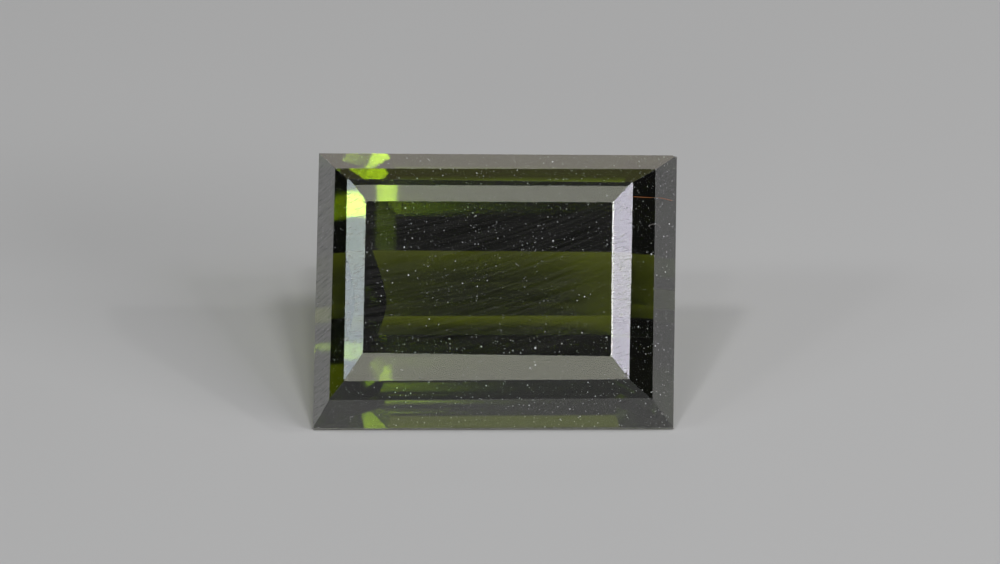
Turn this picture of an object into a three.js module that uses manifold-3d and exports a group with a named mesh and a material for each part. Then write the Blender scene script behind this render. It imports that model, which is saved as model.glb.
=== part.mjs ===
// A loose green tourmaline, cut as a rectangular step cut with square corners, 9 by 7 mm.
// It has three steps round the crown, a flat table, a thin girdle, and three steps below the girdle
// on each side that end in a keel. A stone with a keel can't stand upright, so it leans on the
// large facet below its front girdle, as such a stone does when it is put down on a flat surface.
//
// Lengths are in millimetres and angles in degrees.
// While it is cut the stone lies in its own cutting frame: X along its length, Y from front to back,
// Z up through the table, and the origin in the middle of the girdle's upper edge.
// At the end it is turned to its resting place: the resting facet on Z = 0, +Z up.

import * as THREE from 'three';
import { mergeVertices } from 'three/addons/utils/BufferGeometryUtils.js';
import Module from 'manifold-3d';

// Driving dimensions

const GIRDLE_BAND = 0.12; // height of the girdle's upright band
const TABLE_LEVEL = 1.545; // height of the table above the girdle's upper edge
const MIDDLE_LEVEL = 0.93; // level at which the reach of the crown's middle step is measured
const INNER_LEVEL = 1.345; // level at which the reach of the crown's inner step is measured

// The girdle's four sides. Reach is how far the side lies from the stone's axis.
// Turn is how far it stands out of square, anticlockwise seen from above, as hand cutting leaves it.
const GIRDLE = {
	back: { reach: 3.49, turn: - 0.3 },
	right: { reach: 4.50, turn: 0.2 },
	front: { reach: 3.49, turn: 0.3 },
	left: { reach: 4.50, turn: 0.2 },
};

// The crown's steps above the girdle. Slope is measured from the plane of the girdle.
const CROWN = [
	{ side: 'back', slope: 58.0, turn: - 0.3, reach: 3.49, level: 0 },
	{ side: 'right', slope: 63.0, turn: 0.2, reach: 4.50, level: 0 },
	{ side: 'front', slope: 59.5, turn: 0.3, reach: 3.49, level: 0 },
	{ side: 'left', slope: 61.5, turn: 0.2, reach: 4.50, level: 0 },
	{ side: 'back', slope: 46.0, turn: - 0.5, reach: 2.91, level: MIDDLE_LEVEL },
	{ side: 'right', slope: 40.5, turn: 0.2, reach: 4.01, level: MIDDLE_LEVEL },
	{ side: 'front', slope: 47.5, turn: 0.2, reach: 2.94, level: MIDDLE_LEVEL },
	{ side: 'left', slope: 46.0, turn: 0.4, reach: 4.00, level: MIDDLE_LEVEL },
	{ side: 'back', slope: 24.0, turn: - 0.2, reach: 2.51, level: INNER_LEVEL },
	{ side: 'right', slope: 22.0, turn: 0.5, reach: 3.55, level: INNER_LEVEL },
	{ side: 'front', slope: 17.5, turn: - 0.6, reach: 2.58, level: INNER_LEVEL },
	{ side: 'left', slope: 23.5, turn: 0.2, reach: 3.58, level: INNER_LEVEL },
	{ side: 'back', slope: 17.4, turn: - 0.2, reach: 2.37, level: 1.407 }, // the rest of the back inner step
	{ side: 'right', slope: 11.0, turn: 0.5, reach: 3.075, level: 1.537 }, // a hairline cut along the table
];

// The pavilion's steps from the girdle down. Run is the step's width seen from above.
// The last step of the long sides runs to the keel, and that of the ends to the keel's tips.
const END_STEPS = [
	{ slope: 65, run: 0.50 },
	{ slope: 62, run: 0.55 },
	{ slope: 60, run: Infinity },
];
const PAVILION = {
	back: [
		{ slope: 48, run: 2.27 },
		{ slope: 32, run: 0.74 },
		{ slope: 18, run: Infinity },
	],
	right: END_STEPS,
	front: [
		{ slope: 47, run: 2.60 },
		{ slope: 27, run: 0.52 },
		{ slope: 14, run: Infinity },
	],
	left: END_STEPS,
};

// The side and the step that the stone rests on, counted from the girdle
const RESTING_SIDE = 'front';
const RESTING_STEP = 0;

// Small chips out of the edges: where the middle of each lies and its size across.
const CHIPS = [
	{ at: [ 4.50, 3.50, - 0.01 ], across: 0.26 },
	{ at: [ 4.06, 2.93, 0.92 ], across: 0.12 },
	{ at: [ - 3.15, 1.92, 1.56 ], across: 0.10 },
	{ at: [ 3.42, - 2.44, 1.42 ], across: 0.12 },
	{ at: [ 4.28, - 3.24, 0.48 ], across: 0.14 },
];
const CHIP_DETAIL = 1; // how often the faces of a chip's round form are divided

// The rough block that the stone is cut from, larger than the stone all round
const BLOCK = { length: 12, width: 10, height: 10 };

const STONE_COLOUR = 0x4f5f38;

// Cutting directions

const OUTWARD = {
	back: new THREE.Vector3( 0, 1, 0 ),
	right: new THREE.Vector3( 1, 0, 0 ),
	front: new THREE.Vector3( 0, - 1, 0 ),
	left: new THREE.Vector3( - 1, 0, 0 ),
};
const UP = new THREE.Vector3( 0, 0, 1 );

// A facet's plane. It passes through the line that lies reach out from the axis at the given level.
// A slope above 90 faces downwards, as the facets below the girdle do.
function facetPlane( { side, slope, turn, reach, level } ) {

	const outward = OUTWARD[ side ].clone().applyAxisAngle( UP, THREE.MathUtils.degToRad( turn ) );
	const angle = THREE.MathUtils.degToRad( slope );
	const normal = outward.multiplyScalar( Math.sin( angle ) ).addScaledVector( UP, Math.cos( angle ) );
	const point = OUTWARD[ side ].clone().multiplyScalar( reach ).addScaledVector( UP, level );
	return new THREE.Plane().setFromNormalAndCoplanarPoint( normal, point );

}

// The pavilion facets of one side, each starting where the one above it ends
function pavilionPlanes( side ) {

	let { reach, turn } = GIRDLE[ side ];
	let level = - GIRDLE_BAND;
	return PAVILION[ side ].map( ( { slope, run } ) => {

		const plane = facetPlane( { side, slope: 180 - slope, turn, reach, level } );
		level -= run * Math.tan( THREE.MathUtils.degToRad( slope ) );
		reach -= run;
		return plane;

	} );

}

// Solids

const wasm = await Module();
wasm.setup();

// A closed solid from a geometry, with its shared corners merged
function solidFrom( geometry ) {

	geometry.deleteAttribute( 'normal' );
	geometry.deleteAttribute( 'uv' );
	const merged = mergeVertices( geometry );
	return new wasm.Manifold( new wasm.Mesh( {
		numProp: 3,
		vertProperties: new Float32Array( merged.attributes.position.array ),
		triVerts: new Uint32Array( merged.index.array ),
	} ) );

}

// All that lies outside a facet's plane, as a block that covers the stone from that side
function wasteBeyond( plane ) {

	const depth = Math.max( BLOCK.length, BLOCK.width, BLOCK.height ) * 2;
	const waste = new THREE.BoxGeometry( depth, depth, depth );
	waste.translate( 0, 0, depth / 2 );
	waste.applyQuaternion( new THREE.Quaternion().setFromUnitVectors( UP, plane.normal ) );
	const foot = plane.coplanarPoint( new THREE.Vector3() );
	waste.translate( foot.x, foot.y, foot.z );
	return solidFrom( waste );

}

// The round hollow that a knock leaves on an edge
function chipHollow( { at, across } ) {

	const hollow = new THREE.IcosahedronGeometry( across / 2, CHIP_DETAIL );
	hollow.translate( ...at );
	return solidFrom( hollow );

}

// Cutting the stone

const facets = [
	new THREE.Plane( UP, - TABLE_LEVEL ),
	...Object.entries( GIRDLE ).map( ( [ side, cut ] ) => facetPlane( { side, slope: 90, ...cut, level: 0 } ) ),
	...CROWN.map( facetPlane ),
	...Object.keys( PAVILION ).flatMap( pavilionPlanes ),
];

let stone = solidFrom( new THREE.BoxGeometry( BLOCK.length, BLOCK.width, BLOCK.height ) );
for ( const facet of facets ) stone = stone.subtract( wasteBeyond( facet ) );
for ( const chip of CHIPS ) stone = stone.subtract( chipHollow( chip ) );

// Back to a geometry, turned so that the resting facet faces down, then moved so that it lies on
// Z = 0 with the origin under the middle of the stone's box

const cut = stone.getMesh();
const geometry = new THREE.BufferGeometry();
geometry.setAttribute( 'position', new THREE.BufferAttribute( cut.vertProperties, cut.numProp ) );
geometry.setIndex( new THREE.BufferAttribute( cut.triVerts, 1 ) );

const restingFacet = pavilionPlanes( RESTING_SIDE )[ RESTING_STEP ];
const down = UP.clone().negate();
geometry.applyQuaternion( new THREE.Quaternion().setFromUnitVectors( restingFacet.normal, down ) );
geometry.computeBoundingBox();
const box = geometry.boundingBox;
geometry.translate( - ( box.min.x + box.max.x ) / 2, - ( box.min.y + box.max.y ) / 2, - box.min.z );
geometry.computeVertexNormals();

const material = new THREE.MeshStandardMaterial( { color: STONE_COLOUR, roughness: 0.05, metalness: 0 } );
const tourmaline = new THREE.Mesh( geometry, material );
tourmaline.name = 'tourmaline';

const part = new THREE.Group();
part.add( tourmaline );

export default part;
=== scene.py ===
"""A loose green tourmaline, cut as a rectangular step cut, leaning on a facet below its front girdle.

The stone is cut facet by facet in its own cutting frame, in millimetres: X along its length, Y from
front to back, Z up through the table, with the origin in the middle of the girdle's upper edge.
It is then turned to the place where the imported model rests, in metres.
"""

import logging
import math
import random
from dataclasses import dataclass, field
from enum import Enum
from typing import Any

import bmesh
import bpy
from mathutils import Matrix, Quaternion, Vector


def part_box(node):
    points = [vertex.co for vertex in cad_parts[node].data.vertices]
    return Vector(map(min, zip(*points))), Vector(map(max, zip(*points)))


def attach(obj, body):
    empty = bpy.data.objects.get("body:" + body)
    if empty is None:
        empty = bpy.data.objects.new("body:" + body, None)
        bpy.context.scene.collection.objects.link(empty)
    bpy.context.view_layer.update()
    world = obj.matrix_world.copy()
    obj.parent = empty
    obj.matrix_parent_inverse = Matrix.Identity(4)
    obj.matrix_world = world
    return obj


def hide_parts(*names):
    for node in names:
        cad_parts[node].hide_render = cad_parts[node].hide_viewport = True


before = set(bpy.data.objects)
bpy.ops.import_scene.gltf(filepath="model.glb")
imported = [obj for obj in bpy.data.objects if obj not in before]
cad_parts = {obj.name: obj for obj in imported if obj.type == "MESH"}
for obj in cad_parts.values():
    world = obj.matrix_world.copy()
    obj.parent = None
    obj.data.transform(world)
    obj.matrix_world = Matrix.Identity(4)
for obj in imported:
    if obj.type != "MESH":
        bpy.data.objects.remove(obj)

log = logging.getLogger("tourmaline")

MM = 0.001
STONE_NODE = "tourmaline"
HAZE = "haze"
LAP_LINES = "lap_lines"
PITS = "pits"
THREAD_PATH = ((3.40, 2.08), (3.55, 2.11), (3.72, 2.13), (3.92, 2.16), (4.14, 2.22), (4.40, 2.27))
HAIR_PATH = ((3.90, 1.44), (3.99, 1.50), (4.08, 1.52), (4.16, 1.50))
THREAD_THICKNESS = 0.009
HAIR_THICKNESS = 0.007
AMBER = (0.42, 0.13, 0.03, 1.0)
GREY = (0.30, 0.27, 0.26, 1.0)
UP = Vector((0, 0, 1))

# The colour sockets of a Mix node, whose names are also those of its other kinds
MIX_SHARE, MIX_FIRST, MIX_SECOND, MIX_RESULT = 0, 6, 7, 2


class Side(Enum):
    """The four sides of the girdle, each with its outward direction in the cutting frame."""

    BACK = (0, 1, 0)
    RIGHT = (1, 0, 0)
    FRONT = (0, -1, 0)
    LEFT = (-1, 0, 0)

    def outward(self) -> Vector:
        """Returns the side's outward direction."""
        return Vector(self.value)


class Zone(Enum):
    """The kinds of surface on the stone."""

    TABLE = 0
    INNER_STEP = 1
    MIDDLE_STEP = 2
    OUTER_STEP = 3
    GIRDLE = 4
    PAVILION = 5


@dataclass(frozen=True)
class Facet:
    """One flat cut, which passes through a level line on its side of the stone.

    slope is in degrees from the plane of the girdle, and above 90 it faces down. turn is in degrees
    out of square, anticlockwise from above. reach and level place the line, in millimetres.
    """

    side: Side
    zone: Zone
    slope: float
    turn: float
    reach: float
    level: float

    def normal(self) -> Vector:
        """Works out which way the facet faces.

        Returns:
            Its outward direction in the cutting frame.
        """
        outward = Matrix.Rotation(math.radians(self.turn), 3, "Z") @ self.side.outward()
        angle = math.radians(self.slope)
        return outward * math.sin(angle) + UP * math.cos(angle)

    def point(self) -> Vector:
        """Returns a point on the facet's plane in the cutting frame."""
        return self.side.outward() * self.reach + UP * self.level


@dataclass(frozen=True)
class PavilionStep:
    """One step below the girdle: its slope in degrees and its width seen from above, in millimetres."""

    slope: float
    run: float


@dataclass(frozen=True)
class Chip:
    """The round hollow that a knock leaves on an edge: where its middle lies and its size across."""

    at: tuple
    across: float


@dataclass
class CuttingSheet:
    """Every cut of the stone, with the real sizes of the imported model.

    Each side of the crown has three steps. The outer one starts at the girdle and has only a slope. The
    others have a slope, a turn and a reach, which is measured at middle_level and at inner_level. The
    two last facets are the rest of the back inner step and a hairline cut along the table's right side.
    """

    girdle_band: float = 0.12
    table_level: float = 1.545
    middle_level: float = 0.93
    inner_level: float = 1.345
    girdle_reach: dict = field(
        default_factory=lambda: {Side.BACK: 3.49, Side.RIGHT: 4.50, Side.FRONT: 3.49, Side.LEFT: 4.50}
    )
    girdle_turn: dict = field(
        default_factory=lambda: {Side.BACK: -0.3, Side.RIGHT: 0.2, Side.FRONT: 0.3, Side.LEFT: 0.2}
    )
    outer_slopes: dict = field(
        default_factory=lambda: {Side.BACK: 58.0, Side.RIGHT: 63.0, Side.FRONT: 59.5, Side.LEFT: 61.5}
    )
    middle_cuts: dict = field(
        default_factory=lambda: {
            Side.BACK: (46.0, -0.5, 2.91),
            Side.RIGHT: (40.5, 0.2, 4.01),
            Side.FRONT: (47.5, 0.2, 2.94),
            Side.LEFT: (46.0, 0.4, 4.00),
        }
    )
    inner_cuts: dict = field(
        default_factory=lambda: {
            Side.BACK: (24.0, -0.2, 2.51),
            Side.RIGHT: (22.0, 0.5, 3.55),
            Side.FRONT: (17.5, -0.6, 2.58),
            Side.LEFT: (23.5, 0.2, 3.58),
        }
    )
    back_rest: Facet = Facet(Side.BACK, Zone.INNER_STEP, 17.4, -0.2, 2.37, 1.407)
    right_hairline: Facet = Facet(Side.RIGHT, Zone.INNER_STEP, 11.0, 0.5, 3.075, 1.537)
    back_steps: tuple = (PavilionStep(48, 2.27), PavilionStep(32, 0.74), PavilionStep(18, math.inf))
    front_steps: tuple = (PavilionStep(47, 2.60), PavilionStep(27, 0.52), PavilionStep(14, math.inf))
    end_steps: tuple = (PavilionStep(65, 0.50), PavilionStep(62, 0.55), PavilionStep(60, math.inf))
    resting_side: Side = Side.FRONT
    resting_step: int = 0
    chips: tuple = (
        Chip((4.50, 3.50, -0.01), 0.26),
        Chip((4.06, 2.93, 0.92), 0.12),
        Chip((-3.15, 1.92, 1.56), 0.10),
        Chip((3.42, -2.44, 1.42), 0.12),
        Chip((4.28, -3.24, 0.48), 0.14),
    )

    def crown(self) -> list[Facet]:
        """Lists the facets above the girdle.

        Returns:
            The outer, middle and inner steps, and the two last facets.
        """
        facets = []
        for side, slope in self.outer_slopes.items():
            turn, reach = self.girdle_turn[side], self.girdle_reach[side]
            facets.append(Facet(side, Zone.OUTER_STEP, slope, turn, reach, 0.0))
        for side, cut in self.middle_cuts.items():
            facets.append(Facet(side, Zone.MIDDLE_STEP, *cut, self.middle_level))
        for side, cut in self.inner_cuts.items():
            facets.append(Facet(side, Zone.INNER_STEP, *cut, self.inner_level))
        return [*facets, self.back_rest, self.right_hairline]

    def girdle(self) -> list[Facet]:
        """Returns the four upright sides."""
        sides = [(side, self.girdle_turn[side], self.girdle_reach[side]) for side in Side]
        return [Facet(side, Zone.GIRDLE, 90.0, turn, reach, 0.0) for side, turn, reach in sides]

    def pavilion(self, side: Side) -> list[Facet]:
        """Works out one side's steps below the girdle, each starting where the one above it ends.

        Args:
            side: The side of the stone.

        Returns:
            The side's facets from the girdle down.
        """
        steps = {Side.BACK: self.back_steps, Side.FRONT: self.front_steps}.get(side, self.end_steps)
        turn, reach, level = self.girdle_turn[side], self.girdle_reach[side], -self.girdle_band
        facets = []
        for step in steps:
            facets.append(Facet(side, Zone.PAVILION, 180.0 - step.slope, turn, reach, level))
            reach -= step.run
            level -= step.run * math.tan(math.radians(step.slope))
        return facets

    def all_cuts(self) -> list[Facet]:
        """Returns every facet in cutting order, without the table."""
        return self.girdle() + self.crown() + [facet for side in Side for facet in self.pavilion(side)]

    def height(self, across: float, back: float) -> float:
        """Finds how high the crown is at one point.

        Args:
            across: The point's place along the stone.
            back: Its place from front to back.

        Returns:
            The crown's height there.
        """
        levels = [self.table_level]
        for facet in self.crown():
            normal, point = facet.normal(), facet.point()
            rest = normal.dot(point) - normal.x * across - normal.y * back
            levels.append(rest / normal.z)
        return min(levels)

    def laid_down(self) -> Quaternion:
        """Returns the turn from the cutting frame to the way the stone rests."""
        resting = self.pavilion(self.resting_side)[self.resting_step]
        return resting.normal().rotation_difference(-UP)


class Value:
    """A shader socket that works out maths with Python's operators."""

    def __init__(self, graph: "Graph", socket: bpy.types.NodeSocket) -> None:
        """Keeps the socket and the graph that new nodes go into."""
        self.graph = graph
        self.socket = socket

    def _math(self, operation: str, *values: Any) -> "Value":
        """Adds one Math node and returns its result."""
        return self.graph.node("ShaderNodeMath", {"operation": operation}, dict(enumerate(values)))

    def __add__(self, other: Any) -> "Value":
        """Returns self + other."""
        return self._math("ADD", self, other)

    def __radd__(self, other: Any) -> "Value":
        """Returns other + self."""
        return self._math("ADD", other, self)

    def __sub__(self, other: Any) -> "Value":
        """Returns self - other."""
        return self._math("SUBTRACT", self, other)

    def __rsub__(self, other: Any) -> "Value":
        """Returns other - self."""
        return self._math("SUBTRACT", other, self)

    def __mul__(self, other: Any) -> "Value":
        """Returns self * other."""
        return self._math("MULTIPLY", self, other)

    def __rmul__(self, other: Any) -> "Value":
        """Returns other * self."""
        return self._math("MULTIPLY", other, self)

    def __truediv__(self, other: Any) -> "Value":
        """Returns self / other."""
        return self._math("DIVIDE", self, other)

    def __rtruediv__(self, other: Any) -> "Value":
        """Returns other / self."""
        return self._math("DIVIDE", other, self)

    def clamped(self) -> "Value":
        """Returns the value held between 0 and 1."""
        return self.graph.node("ShaderNodeClamp", {}, {"Value": self})

    def ramp(self, low: float, high: float) -> "Value":
        """Returns a smooth step that is 0 at low and 1 at high."""
        return self.graph.node(
            "ShaderNodeMapRange",
            {"interpolation_type": "SMOOTHSTEP"},
            {"Value": self, "From Min": low, "From Max": high},
        )


class Graph:
    """The node tree of one material or world."""

    def __init__(self, tree: bpy.types.NodeTree) -> None:
        """Empties the tree."""
        self.tree = tree
        self.tree.nodes.clear()

    def node(self, kind: str, settings: dict, inputs: dict, output: Any = 0) -> Value | None:
        """Adds one node.

        Args:
            kind: The node's type.
            settings: The node's own properties, set before its sockets.
            inputs: Values or links by the sockets' names or numbers.
            output: The name or number of the socket to return.

        Returns:
            The chosen output, or None where the node has none.
        """
        made = self.tree.nodes.new(kind)
        for name, value in settings.items():
            setattr(made, name, value)
        for name, value in inputs.items():
            if isinstance(value, Value):
                self.tree.links.new(value.socket, made.inputs[name])
            else:
                made.inputs[name].default_value = value
        return Value(self, made.outputs[output]) if len(made.outputs) else None

    def place(self) -> Value:
        """Returns the place on the piece, in metres."""
        return self.node("ShaderNodeTexCoord", {}, {}, "Object")

    def attribute(self, name: str) -> Value:
        """Returns the number that each face has under this name."""
        return self.node("ShaderNodeAttribute", {"attribute_name": name}, {}, "Fac")

    def mixed(self, share: Value, first: tuple, second: tuple) -> Value:
        """Mixes two colours.

        Args:
            share: How much there is of the second colour, from 0 to 1.
            first: The first colour.
            second: The second colour.

        Returns:
            The mixed colour.
        """
        sockets = {MIX_SHARE: share, MIX_FIRST: first, MIX_SECOND: second}
        return self.node("ShaderNodeMix", {"data_type": "RGBA"}, sockets, MIX_RESULT)

    def noise(self, place: Value, scale: float, detail: float, dimensions: str = "3D") -> Value:
        """Makes an even noise.

        Args:
            place: Where the noise is read.
            scale: How many of its waves there are in one unit of place.
            detail: How many finer waves are laid over them.
            dimensions: Whether it is read in a plane or in space.

        Returns:
            The noise, about 0 to 1.
        """
        inputs = {"Vector": place, "Scale": scale, "Detail": detail}
        return self.node("ShaderNodeTexNoise", {"noise_dimensions": dimensions}, inputs)

    def surface(self, colour: Any, roughness: float, others: dict) -> Value:
        """Makes a surface.

        Args:
            colour: Its colour.
            roughness: How rough it is, from 0 to 1.
            others: What else its shader is given, by socket.

        Returns:
            The surface's shader.
        """
        inputs = {"Base Color": colour, "Roughness": roughness, **others}
        return self.node("ShaderNodeBsdfPrincipled", {}, inputs)


@dataclass(frozen=True)
class StoneFinish:
    """Polished, see-through green tourmaline with a thin film of polishing haze.

    absorption is what a millimetre of the stone takes away of red, green and blue light. The polishing
    lap leaves its lines as arcs round lap_centre. Lengths are in millimetres, in the cutting frame. The
    values named edges are where a noise turns from none of a mark to all of it.
    """

    index: float = 1.63
    absorption: tuple = (0.350, 0.306, 1.45)
    unevenness: float = 0.065
    film_pale: tuple = (0.70, 0.69, 0.68, 1.0)
    film_dark: tuple = (0.52, 0.52, 0.51, 1.0)
    film_roughness: float = 0.7
    film_shine: float = 0.2
    film_edges: tuple = (0.5, 0.72)
    lap_centre: tuple = (-6.1, 23.0, 0.0)
    line_spacing: float = 0.055
    line_length: float = 2.2
    line_detail: float = 3.0
    line_edges: tuple = (0.3, 0.75)
    scratch_width: float = 0.045
    scratch_length: float = 0.22
    scratch_detail: float = 2.0
    pit_edges: tuple = (0.56, 0.72)
    ripple_size: float = 0.6
    ripple_height: float = 0.0005
    ripple_detail: float = 2.0

    def material(self, sheet: CuttingSheet) -> bpy.types.Material:
        """Makes the stone's material.

        Args:
            sheet: The cuts, for the turn between the cutting frame and the resting place.

        Returns:
            The material, with the colour in the stone's depth and the haze on its surface.
        """
        made = bpy.data.materials.new("polished_tourmaline")
        made.use_nodes = True
        graph = Graph(made.node_tree)
        lines, scratches = self._wear(graph, sheet)
        deepest = max(self.absorption)
        tint = [1 - value / deepest for value in self.absorption]
        depth = graph.node("ShaderNodeVolumeAbsorption", {}, {"Color": (*tint, 1), "Density": deepest / MM})
        clear = {"IOR": self.index, "Transmission Weight": 1.0, "Normal": self._ripple(graph)}
        polished = graph.surface((1, 1, 1, 1), self.unevenness, clear)
        film_colour = graph.mixed(scratches.ramp(*self.film_edges), self.film_pale, self.film_dark)
        film = graph.surface(film_colour, self.film_roughness, {"Specular IOR Level": self.film_shine})
        pits = graph.attribute(PITS) * scratches.ramp(*self.pit_edges)
        share = (graph.attribute(HAZE) * (1.0 + graph.attribute(LAP_LINES) * (lines - 0.5)) + pits).clamped()
        surface = graph.node("ShaderNodeMixShader", {}, {0: share, 1: polished, 2: film})
        graph.node("ShaderNodeOutputMaterial", {}, {"Surface": surface, "Volume": depth})
        return made

    def _ripple(self, graph: Graph) -> Value:
        """Bends the surface slightly, as the lap doesn't leave a facet quite flat.

        Args:
            graph: The material's graph.

        Returns:
            The direction of the bent surface.
        """
        waves = graph.noise(graph.place(), 1 / (self.ripple_size * MM), self.ripple_detail)
        return graph.node("ShaderNodeBump", {}, {"Distance": self.ripple_height * MM, "Height": waves})

    def _wear(self, graph: Graph, sheet: CuttingSheet) -> tuple[Value, Value]:
        """Makes the patterns of the polish.

        Args:
            graph: The material's graph.
            sheet: The cuts.

        Returns:
            The lap's long lines and its short scratches, both from 0 to 1.
        """
        upright = sheet.laid_down().inverted().to_euler()
        in_millimetres = (1 / MM, 1 / MM, 1 / MM)
        cutting = graph.node(
            "ShaderNodeMapping",
            {},
            {"Vector": graph.place(), "Rotation": upright, "Scale": in_millimetres},
        )
        from_lap = graph.node(
            "ShaderNodeVectorMath", {"operation": "SUBTRACT"}, {0: cutting, 1: self.lap_centre}
        )
        radius = graph.node("ShaderNodeVectorMath", {"operation": "LENGTH"}, {0: from_lap}, "Value")
        along = graph.node("ShaderNodeSeparateXYZ", {}, {"Vector": from_lap})
        long_marks = graph.node(
            "ShaderNodeCombineXYZ", {}, {0: radius / self.line_spacing, 1: along / self.line_length}
        )
        short_marks = graph.node(
            "ShaderNodeCombineXYZ", {}, {0: radius / self.scratch_width, 1: along / self.scratch_length}
        )
        lines = graph.noise(long_marks, 1.0, self.line_detail, "2D")
        scratches = graph.noise(short_marks, 1.0, self.scratch_detail, "2D")
        return lines.ramp(*self.line_edges), scratches


@dataclass(frozen=True)
class FloorFinish:
    """Plain pale paper."""

    colour: tuple = (0.62, 0.62, 0.62, 1.0)
    roughness: float = 0.9
    shine: float = 0.2

    def material(self) -> bpy.types.Material:
        """Makes the floor's material.

        Returns:
            The material.
        """
        made = bpy.data.materials.new("pale_floor")
        made.use_nodes = True
        graph = Graph(made.node_tree)
        surface = graph.surface(self.colour, self.roughness, {"Specular IOR Level": self.shine})
        graph.node("ShaderNodeOutputMaterial", {}, {"Surface": surface})
        return made


@dataclass
class CutStone:
    """The faceted stone. Lengths are in millimetres.

    haze is how much of each facet the dull film covers, from 0 to 1, by zone and, where the sides differ,
    by zone and side. lap_lines is how clearly the lap's lines show in it, and pits how much film the short
    scratches add. place is the move from the cutting frame to the resting place, once the stone is built.
    """

    sheet: CuttingSheet
    finish: StoneFinish
    block: float = 14.0
    snap: float = 0.0001
    edge_wear: float = 0.006
    edge_rows: int = 2
    edge_roundness: float = 0.5
    edge_haze: float = 0.3
    chip_haze: float = 0.35
    chip_detail: int = 2
    haze: dict = field(
        default_factory=lambda: {
            Zone.TABLE: 0.022,
            Zone.INNER_STEP: 0.03,
            Zone.MIDDLE_STEP: 0.006,
            Zone.OUTER_STEP: 0.10,
            (Zone.OUTER_STEP, Side.LEFT): 0.40,
            (Zone.OUTER_STEP, Side.BACK): 0.04,
            Zone.GIRDLE: 0.6,
            Zone.PAVILION: 0.01,
        }
    )
    lap_lines: dict = field(default_factory=lambda: {Zone.TABLE: 1.0, Zone.INNER_STEP: 0.8})
    other_lap_lines: float = 0.2
    pits: dict = field(
        default_factory=lambda: {(Zone.INNER_STEP, Side.LEFT): 0.6, (Zone.INNER_STEP, Side.RIGHT): 0.6}
    )
    place: Matrix = field(default_factory=Matrix)

    def build(self) -> bpy.types.Object:
        """Cuts the stone, turns it to its resting place and dresses it.

        Returns:
            The finished stone.
        """
        solid = bmesh.new()
        film = solid.faces.layers.float.new(HAZE)
        lines = solid.faces.layers.float.new(LAP_LINES)
        pits = solid.faces.layers.float.new(PITS)
        bmesh.ops.create_cube(solid, size=self.block)
        table = Facet(Side.BACK, Zone.TABLE, 0.0, 0.0, 0.0, self.sheet.table_level)
        for facet in [table, *self.sheet.all_cuts()]:
            haze = self.haze.get((facet.zone, facet.side), self.haze.get(facet.zone))
            marks = {
                film: haze,
                lines: self.lap_lines.get(facet.zone, self.other_lap_lines),
                pits: self.pits.get((facet.zone, facet.side), 0.0),
            }
            self._cut(solid, facet.point(), facet.normal(), marks)
        self.place = self._resting_place(solid)
        self._wear_edges(solid, film)
        solid = self._chipped(solid)
        solid.transform(self.place)
        mesh = bpy.data.meshes.new("cut_tourmaline")
        solid.to_mesh(mesh)
        solid.free()
        mesh.materials.append(self.finish.material(self.sheet))
        stone = bpy.data.objects.new("cut_tourmaline", mesh)
        bpy.context.scene.collection.objects.link(stone)
        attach(stone, "root")
        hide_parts(STONE_NODE)
        return stone

    def _cut(self, solid: bmesh.types.BMesh, point: Vector, normal: Vector, marks: dict) -> None:
        """Takes away what lies outside one plane and closes the cut with a facet.

        Args:
            solid: The stone so far.
            point: A point on the plane.
            normal: The way that the facet faces.
            marks: The facet's values, by layer.
        """
        everything = solid.verts[:] + solid.edges[:] + solid.faces[:]
        cut = bmesh.ops.bisect_plane(
            solid,
            geom=everything,
            dist=self.snap,
            plane_co=point,
            plane_no=normal,
            clear_outer=True,
        )
        rim = [part for part in cut["geom_cut"] if isinstance(part, bmesh.types.BMEdge)]
        for face in bmesh.ops.edgeloop_fill(solid, edges=rim)["faces"]:
            for layer, value in marks.items():
                face[layer] = value
        bmesh.ops.recalc_face_normals(solid, faces=solid.faces[:])

    def _wear_edges(self, solid: bmesh.types.BMesh, film: Any) -> None:
        """Takes the last sharpness off every edge, as polishing does.

        Args:
            solid: The cut stone.
            film: The layer of the haze.
        """
        worn = bmesh.ops.bevel(
            solid,
            geom=solid.edges[:] + solid.verts[:],
            offset=self.edge_wear,
            offset_type="OFFSET",
            affect="EDGES",
            segments=self.edge_rows,
            profile=self.edge_roundness,
            material=-1,
            clamp_overlap=True,
        )
        for face in worn["faces"]:
            face[film] = self.edge_haze

    def _chipped(self, solid: bmesh.types.BMesh) -> bmesh.types.BMesh:
        """Knocks the chips out of the edges.

        Args:
            solid: The whole stone in the cutting frame, which this frees.

        Returns:
            The chipped stone.
        """
        hollows = bmesh.new()
        film = hollows.faces.layers.float.new(HAZE)
        for layer in (LAP_LINES, PITS):
            hollows.faces.layers.float.new(layer)
        for chip in self.sheet.chips:
            bmesh.ops.create_icosphere(
                hollows,
                subdivisions=self.chip_detail,
                radius=chip.across / 2,
                matrix=Matrix.Translation(chip.at),
            )
        for face in hollows.faces:
            face[film] = self.chip_haze
        pair = []
        for name, shape in (("whole", solid), ("hollows", hollows)):
            mesh = bpy.data.meshes.new(name)
            shape.to_mesh(mesh)
            shape.free()
            pair.append(bpy.data.objects.new(name, mesh))
            bpy.context.scene.collection.objects.link(pair[-1])
        whole, knocked = pair
        knock = whole.modifiers.new("knock", "BOOLEAN")
        knock.operation = "DIFFERENCE"
        knock.solver = "EXACT"
        knock.object = knocked
        done = whole.evaluated_get(bpy.context.evaluated_depsgraph_get()).to_mesh()
        chipped = bmesh.new()
        chipped.from_mesh(done)
        for piece in pair:
            mesh = piece.data
            bpy.data.objects.remove(piece)
            bpy.data.meshes.remove(mesh)
        return chipped

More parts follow.
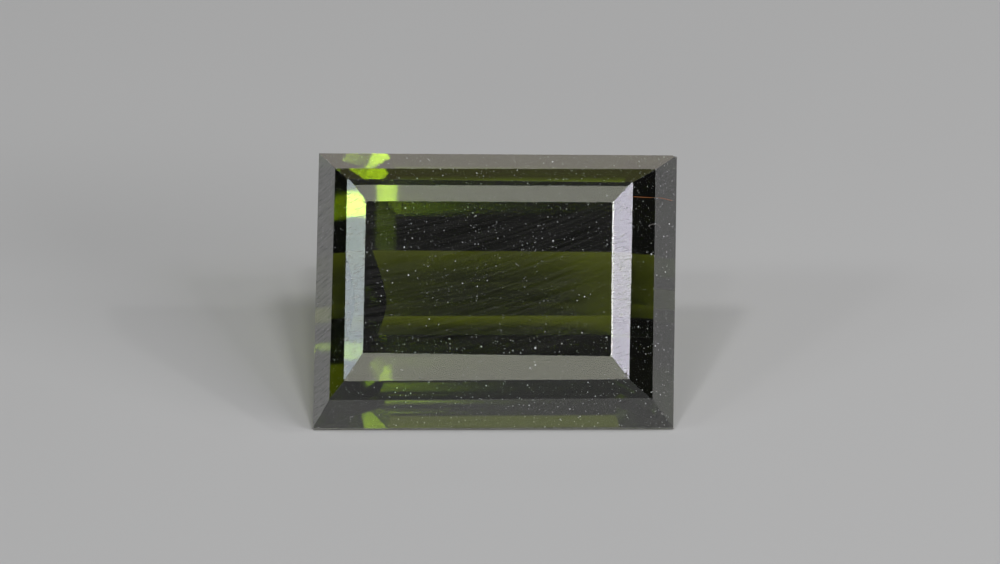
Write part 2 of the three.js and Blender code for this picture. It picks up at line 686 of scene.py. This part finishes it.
    def _resting_place(self, solid: bmesh.types.BMesh) -> Matrix:
        """Finds where the stone goes once it is cut.

        Args:
            solid: The cut stone.

        Returns:
            The move from the cutting frame, in millimetres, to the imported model's place.
        """
        turn = self.sheet.laid_down().to_matrix()
        turned = [turn @ vert.co for vert in solid.verts]
        lowest = Vector([min(point[axis] for point in turned) for axis in range(3)])
        model_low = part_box(STONE_NODE)[0]
        return Matrix.Translation(model_low - lowest * MM) @ Matrix.Scale(MM, 4) @ turn.to_4x4()


@dataclass
class Dust:
    """Fine dust on the faces on the crown's side. Lengths are in millimetres.

    The sizes of the specks spread round usual_size up to largest. narrowest and flatness are a speck's
    least width and its height for a length of 1. least_tilt keeps the dust off the faces below the girdle.
    """

    seed: int = 7
    specks: int = 3600
    usual_size: float = 0.014
    spread: float = 0.45
    largest: float = 0.055
    narrowest: float = 0.5
    flatness: float = 0.5
    least_tilt: float = 0.2

    def build(self, stone: bpy.types.Object, place: Matrix) -> bpy.types.Object:
        """Scatters the specks over the crown.

        Args:
            stone: The finished stone, at its resting place.
            place: The move from the cutting frame to the resting place.

        Returns:
            All the specks as one piece.
        """
        draw = random.Random(self.seed)
        up = place.to_3x3().normalized() @ UP
        crown = [face for face in stone.data.polygons if face.normal.dot(up) > self.least_tilt]
        areas = [face.area for face in crown]
        ball = bmesh.new()
        bmesh.ops.create_icosphere(ball, subdivisions=1, radius=1.0)
        corners, sides = [], []
        for face in draw.choices(crown, areas, k=self.specks):
            spot = self._spot(stone.data, face, draw)
            size = min(self.usual_size * math.exp(draw.gauss(0, self.spread)), self.largest) * MM / 2
            turn = UP.rotation_difference(face.normal).to_matrix().to_4x4()
            shape = Matrix.Diagonal((size, size * draw.uniform(self.narrowest, 1.0), size * self.flatness, 1))
            spin = Matrix.Rotation(draw.uniform(0, math.tau), 4, "Z")
            move = Matrix.Translation(spot) @ turn @ spin @ shape
            first = len(corners)
            corners += [move @ vert.co for vert in ball.verts]
            sides += [[first + vert.index for vert in side.verts] for side in ball.faces]
        ball.free()
        mesh = bpy.data.meshes.new("dust_specks")
        mesh.from_pydata(corners, [], sides)
        mesh.materials.append(DustFinish().material())
        dust = bpy.data.objects.new("dust_specks", mesh)
        bpy.context.scene.collection.objects.link(dust)
        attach(dust, "root")
        return dust

    def _spot(self, mesh: bpy.types.Mesh, face: bpy.types.MeshPolygon, draw: random.Random) -> Vector:
        """Picks a random place on one flat face, in a triangle of its corners chosen by area.

        Args:
            mesh: The stone's mesh.
            face: The face.
            draw: The source of chance.

        Returns:
            The place.
        """
        corners = [mesh.vertices[index].co for index in face.vertices]
        fans = [(corners[0], corners[i], corners[i + 1]) for i in range(1, len(corners) - 1)]
        weights = [(b - a).cross(c - a).length for a, b, c in fans]
        a, b, c = draw.choices(fans, weights)[0]
        u, v = draw.random(), draw.random()
        if u + v > 1:
            u, v = 1 - u, 1 - v
        return a + (b - a) * u + (c - a) * v


@dataclass
class Fibre:
    """A fine thread that lies on the crown. Its points are places along and across the stone.

    Lengths are in millimetres.
    """

    sheet: CuttingSheet
    name: str
    points: tuple
    thickness: float
    colour: tuple
    sides: int = 6

    def build(self, place: Matrix) -> bpy.types.Object:
        """Lays the thread over the facets.

        Args:
            place: The move from the cutting frame to the resting place.

        Returns:
            The thread.
        """
        radius = self.thickness / 2
        path = [Vector((x, y, self.sheet.height(x, y) + radius)) for x, y in self.points]
        stations = []
        for number, point in enumerate(path):
            before, after = path[max(number - 1, 0)], path[min(number + 1, len(path) - 1)]
            turn = (after - before).to_track_quat("Z", "Y")
            stations.append(Matrix.Translation(point) @ turn.to_matrix().to_4x4())
        thread = bmesh.new()
        bmesh.ops.create_circle(
            thread, cap_ends=True, segments=self.sides, radius=radius, matrix=stations[0]
        )
        end = thread.faces[:]
        for before, after in zip(stations, stations[1:]):
            cap = end + [edge for face in end for edge in face.edges]
            grown = bmesh.ops.extrude_face_region(thread, geom=cap)["geom"]
            rim = [part for part in grown if isinstance(part, bmesh.types.BMVert)]
            end = [part for part in grown if isinstance(part, bmesh.types.BMFace)]
            bmesh.ops.transform(thread, matrix=after @ before.inverted(), verts=rim)
        bmesh.ops.recalc_face_normals(thread, faces=thread.faces[:])
        thread.transform(place)
        mesh = bpy.data.meshes.new(self.name)
        thread.to_mesh(mesh)
        thread.free()
        mesh.materials.append(DustFinish(self.name + "_lint", self.colour, self.colour).material())
        laid = bpy.data.objects.new(self.name, mesh)
        bpy.context.scene.collection.objects.link(laid)
        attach(laid, "root")
        return laid


@dataclass(frozen=True)
class DustFinish:
    """Lint and powder, from a darker to a paler shade. grain is how often the shade turns in a millimetre."""

    name: str = "pale_dust"
    dark: tuple = (0.45, 0.46, 0.48, 1.0)
    pale: tuple = (0.85, 0.87, 0.90, 1.0)
    grain: float = 9.0
    grain_detail: float = 1.0
    shade_edges: tuple = (0.35, 0.65)
    roughness: float = 0.8

    def material(self) -> bpy.types.Material:
        """Makes the dust's material.

        Returns:
            The material, in which each speck has its own shade.
        """
        made = bpy.data.materials.new(self.name)
        made.use_nodes = True
        graph = Graph(made.node_tree)
        shade = graph.noise(graph.place(), self.grain / MM, self.grain_detail)
        colour = graph.mixed(shade.ramp(*self.shade_edges), self.dark, self.pale)
        surface = graph.surface(colour, self.roughness, {})
        graph.node("ShaderNodeOutputMaterial", {}, {"Surface": surface})
        return made


@dataclass(frozen=True)
class SoftBox:
    """One soft light: where it stands and how large it looks from the stone, in degrees.

    Azimuth 0 is in front of the stone and grows to its right, and elevation 90 is straight above it.
    Brightness is the light's own radiance.
    """

    name: str
    azimuth: float
    elevation: float
    wide: float
    high: float
    brightness: float
    tint: tuple = (1.0, 1.0, 1.0)

    def build(self, distance: float) -> None:
        """Hangs the light and points it at the stone.

        Args:
            distance: How far it hangs from the stone, in metres.
        """
        width = 2 * distance * math.tan(math.radians(self.wide / 2))
        height = 2 * distance * math.tan(math.radians(self.high / 2))
        data = bpy.data.lights.new(self.name, "AREA")
        data.shape = "RECTANGLE"
        data.size = width
        data.size_y = height
        data.energy = math.pi * width * height * self.brightness
        data.color = self.tint
        turn = math.radians(self.azimuth)
        rise = math.radians(self.elevation)
        towards = Vector(
            (math.sin(turn) * math.cos(rise), -math.cos(turn) * math.cos(rise), math.sin(rise))
        )
        light = bpy.data.objects.new(self.name, data)
        light.location = towards * distance
        light.rotation_euler = towards.to_track_quat("Z", "Y").to_euler()
        light.visible_camera = False
        bpy.context.scene.collection.objects.link(light)


@dataclass
class Studio:
    """The floor, the soft lights and the camera. Lengths are in millimetres and angles in degrees.

    The camera stands almost square above the table, so it looks down on a stone that leans. The windows
    and panels show in the facets as pale tones. The lamps shine through the stone and make its green
    flashes, and the glows its dim green parts. The top and key lights are for the floor.
    """

    floor_radius: float = 500.0
    floor_corners: int = 96
    floor_gap: float = 0.01
    light_distance: float = 300.0
    beyond_floor: float = 0.38
    fill: float = 0.01
    camera_distance: float = 200.0
    camera_below_square: float = 12.0
    camera_to_right: float = 5.26
    camera_roll: float = 1.22
    lens: float = 288.5
    aim_right: float = 0.122
    aim_up: float = 0.215
    film_width: float = 36.0
    nearest: float = 10.0
    farthest: float = 10000.0
    bounces: int = 40
    bounces_off: int = 32
    bounces_through: int = 32
    lights: tuple = (
        SoftBox("window_right", 56.5, 42.5, 10, 7, 9.3, (0.89, 0.86, 1.0)),
        SoftBox("window_left", -69.8, 34, 9, 7, 5.8, (0.83, 0.94, 1.0)),
        SoftBox("panel_above", -95, 85, 7, 7, 2.65, (1.0, 1.0, 0.86)),
        SoftBox("panel_front", -6, 19.5, 14, 8, 2.8, (1.0, 1.0, 0.84)),
        SoftBox("panel_behind", -175, 8.5, 18, 9, 0.8, (1.0, 0.93, 0.82)),
        SoftBox("glow_behind", -172, 47, 24, 10, 0.44),
        SoftBox("glow_low_behind", -174, 32, 30, 6, 0.27, (1.0, 0.95, 0.4)),
        SoftBox("lamp_crown", 17.5, 58.7, 5, 2.8, 66),
        SoftBox("lamp_corner", 56.5, 49, 4, 3, 28),
        SoftBox("lamp_corner_low", 48.5, 52.4, 4, 3, 9),
        SoftBox("lamp_edge", 29, 52.5, 3, 3, 16),
        SoftBox("lamp_outer", 79.2, 42.5, 3.2, 2.4, 70),
        SoftBox("lamp_table", -19.3, 60.0, 5, 4, 12),
        SoftBox("lamp_table_low", 13, 46, 4, 3, 1.7),
        SoftBox("lamp_low", 80.5, 27, 4, 3, 22),
        SoftBox("lamp_back", 123, 56, 6, 6, 0.5),
        SoftBox("top_right", 45, 66, 10, 7, 24.5),
        SoftBox("top_left", -52, 70.5, 7, 6, 27),
        SoftBox("key_right", 58, 20.5, 24, 8, 14),
        SoftBox("key_left", -60, 41, 8, 6, 11),
    )

    def build(self, place: Matrix) -> None:
        """Sets the floor, the lights and the camera.

        Args:
            place: The move from the cutting frame to the place where the stone rests.
        """
        self._floor()
        self._camera(place)
        for light in self.lights:
            light.build(self.light_distance * MM)
        self._sky()
        scene = bpy.context.scene
        scene.view_settings.view_transform = "Standard"
        scene.cycles.max_bounces = self.bounces
        scene.cycles.glossy_bounces = self.bounces_off
        scene.cycles.transmission_bounces = self.bounces_through

    def _sky(self) -> None:
        """Makes a dim room, with a plain pale tone beyond the edge of the floor."""
        world = bpy.data.worlds.new("studio")
        bpy.context.scene.world = world
        world.use_nodes = True
        graph = Graph(world.node_tree)
        seen = graph.node("ShaderNodeLightPath", {}, {}, "Is Camera Ray")
        strength = seen * (self.beyond_floor - self.fill) + self.fill
        sky = graph.node("ShaderNodeBackground", {}, {"Color": (1, 1, 1, 1), "Strength": strength})
        graph.node("ShaderNodeOutputWorld", {}, {"Surface": sky})

    def _floor(self) -> None:
        """Lays the pale floor just under the stone."""
        shape = bmesh.new()
        bmesh.ops.create_circle(
            shape, cap_ends=True, segments=self.floor_corners, radius=self.floor_radius * MM
        )
        bmesh.ops.translate(shape, verts=shape.verts[:], vec=(0, 0, -self.floor_gap * MM))
        mesh = bpy.data.meshes.new("floor")
        shape.to_mesh(mesh)
        shape.free()
        mesh.materials.append(FloorFinish().material())
        floor = bpy.data.objects.new("floor", mesh)
        bpy.context.scene.collection.objects.link(floor)

    def _camera(self, place: Matrix) -> None:
        """Stands the camera at the photograph's angle to the table.

        Args:
            place: The move from the cutting frame to the place where the stone rests.
        """
        below = math.radians(self.camera_below_square)
        aside = math.radians(self.camera_to_right)
        roll = math.radians(self.camera_roll)
        towards = Vector(
            (math.sin(aside) * math.cos(below), -math.sin(below), math.cos(aside) * math.cos(below))
        )
        level = Vector((0, 1, 0)).cross(towards).normalized()
        upright = towards.cross(level)
        across = level * math.cos(roll) + upright * math.sin(roll)
        over = upright * math.cos(roll) - level * math.sin(roll)
        eye = towards * self.camera_distance + across * self.aim_right + over * self.aim_up
        axes = Matrix((across, over, towards)).transposed()
        turn = place.to_3x3().normalized() @ axes
        data = bpy.data.cameras.new("camera")
        data.lens = self.lens
        data.sensor_width = self.film_width
        data.clip_start = self.nearest * MM
        data.clip_end = self.farthest * MM
        camera = bpy.data.objects.new("camera", data)
        camera.matrix_world = Matrix.Translation(place @ eye) @ turn.to_4x4()
        bpy.context.scene.collection.objects.link(camera)
        bpy.context.scene.camera = camera


def main() -> None:
    """Builds the stone and its studio, and reports each piece."""
    logging.basicConfig(level=logging.INFO)
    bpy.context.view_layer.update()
    sheet = CuttingSheet()
    stone = CutStone(sheet, StoneFinish())
    pieces = [stone.build()]
    pieces.append(Dust().build(pieces[0], stone.place))
    pieces.append(Fibre(sheet, "amber_thread", THREAD_PATH, THREAD_THICKNESS, AMBER).build(stone.place))
    pieces.append(Fibre(sheet, "grey_hair", HAIR_PATH, HAIR_THICKNESS, GREY).build(stone.place))
    for piece in pieces:
        log.info("%s: %d faces", piece.name, len(piece.data.polygons))
    Studio().build(stone.place)


if __name__ == "__main__":
    main()
